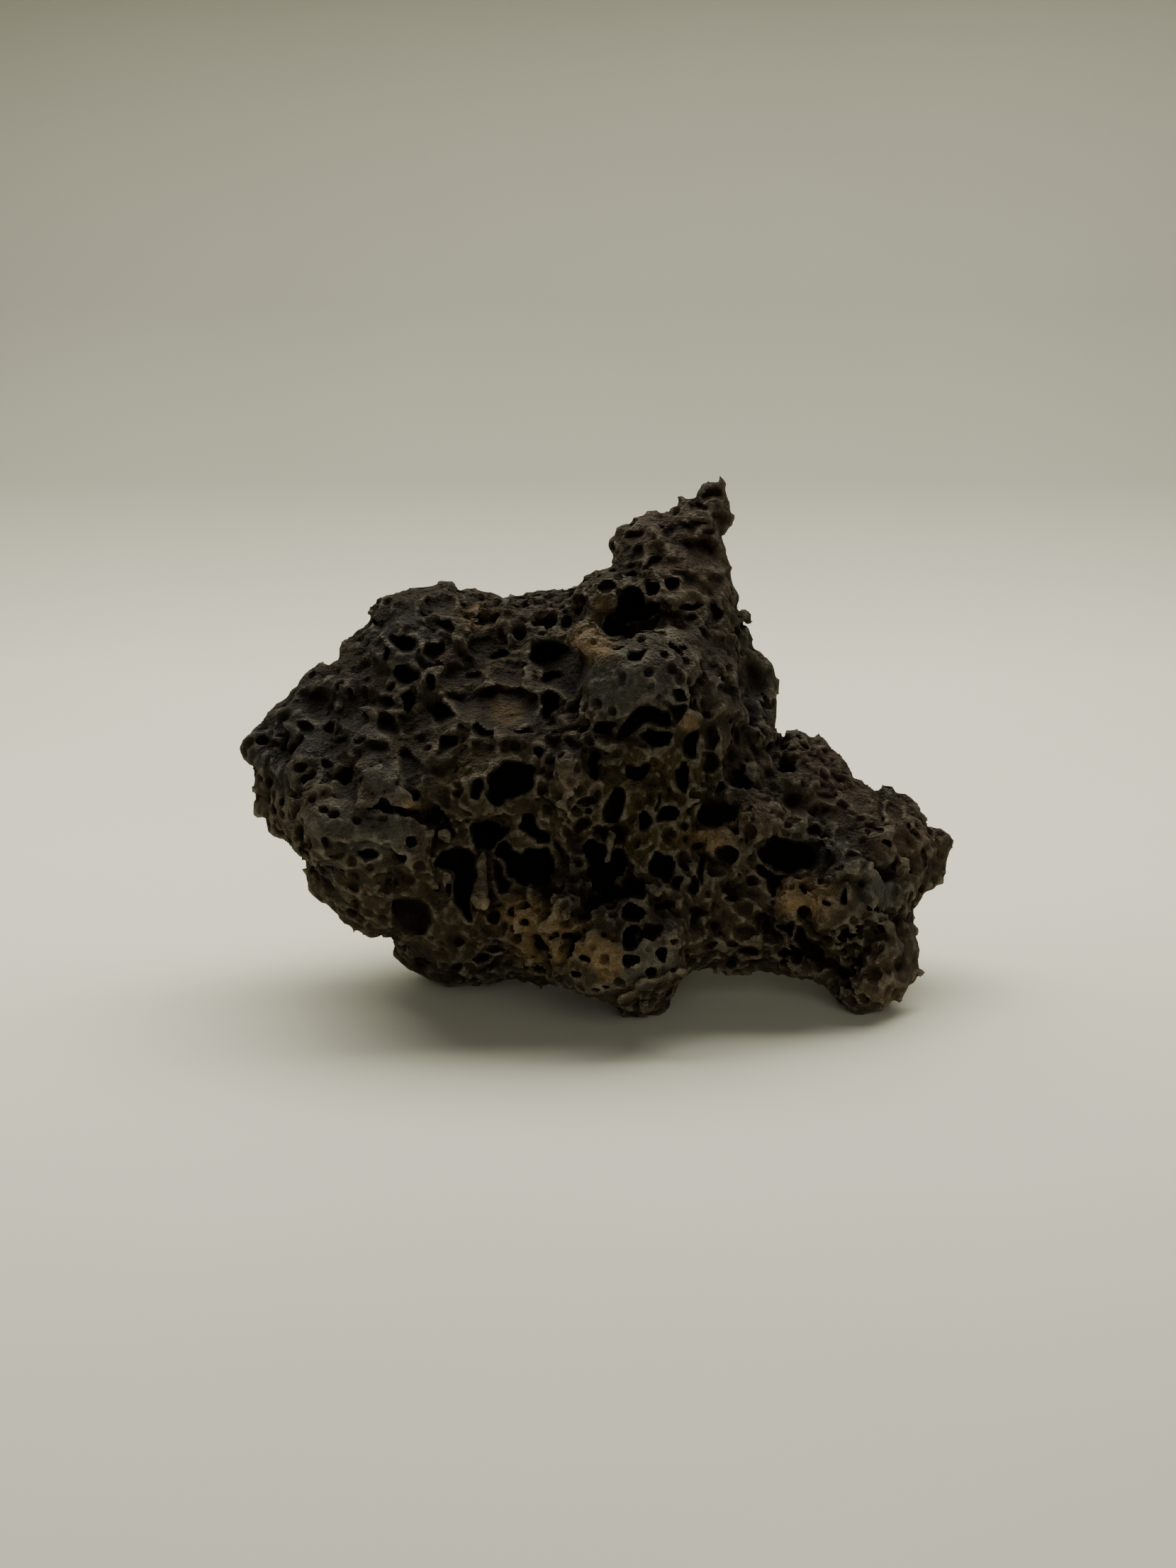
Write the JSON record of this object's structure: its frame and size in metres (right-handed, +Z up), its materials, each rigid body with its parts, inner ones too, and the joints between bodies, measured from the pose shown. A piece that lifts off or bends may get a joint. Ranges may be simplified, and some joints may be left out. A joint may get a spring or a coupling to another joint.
{
  "type": "lava rock",
  "caption": "Rough vesicular lava rock with a leaning peak, a lower lobe on one side and low feet that it rests on.",
  "frame": {"origin": "middle of the bounding box in X and Y, on the surface that the rock rests on", "axes": "+X along the long side, towards the low lobe; +Y to the back; +Z up"},
  "size_m": [0.1528, 0.0886, 0.1057],
  "materials": {
    "basalt": "rough, dull, full of gas holes"
  },
  "bodies": {
    "root": {"lava_rock": "basalt"}
  },
  "joints": []
}
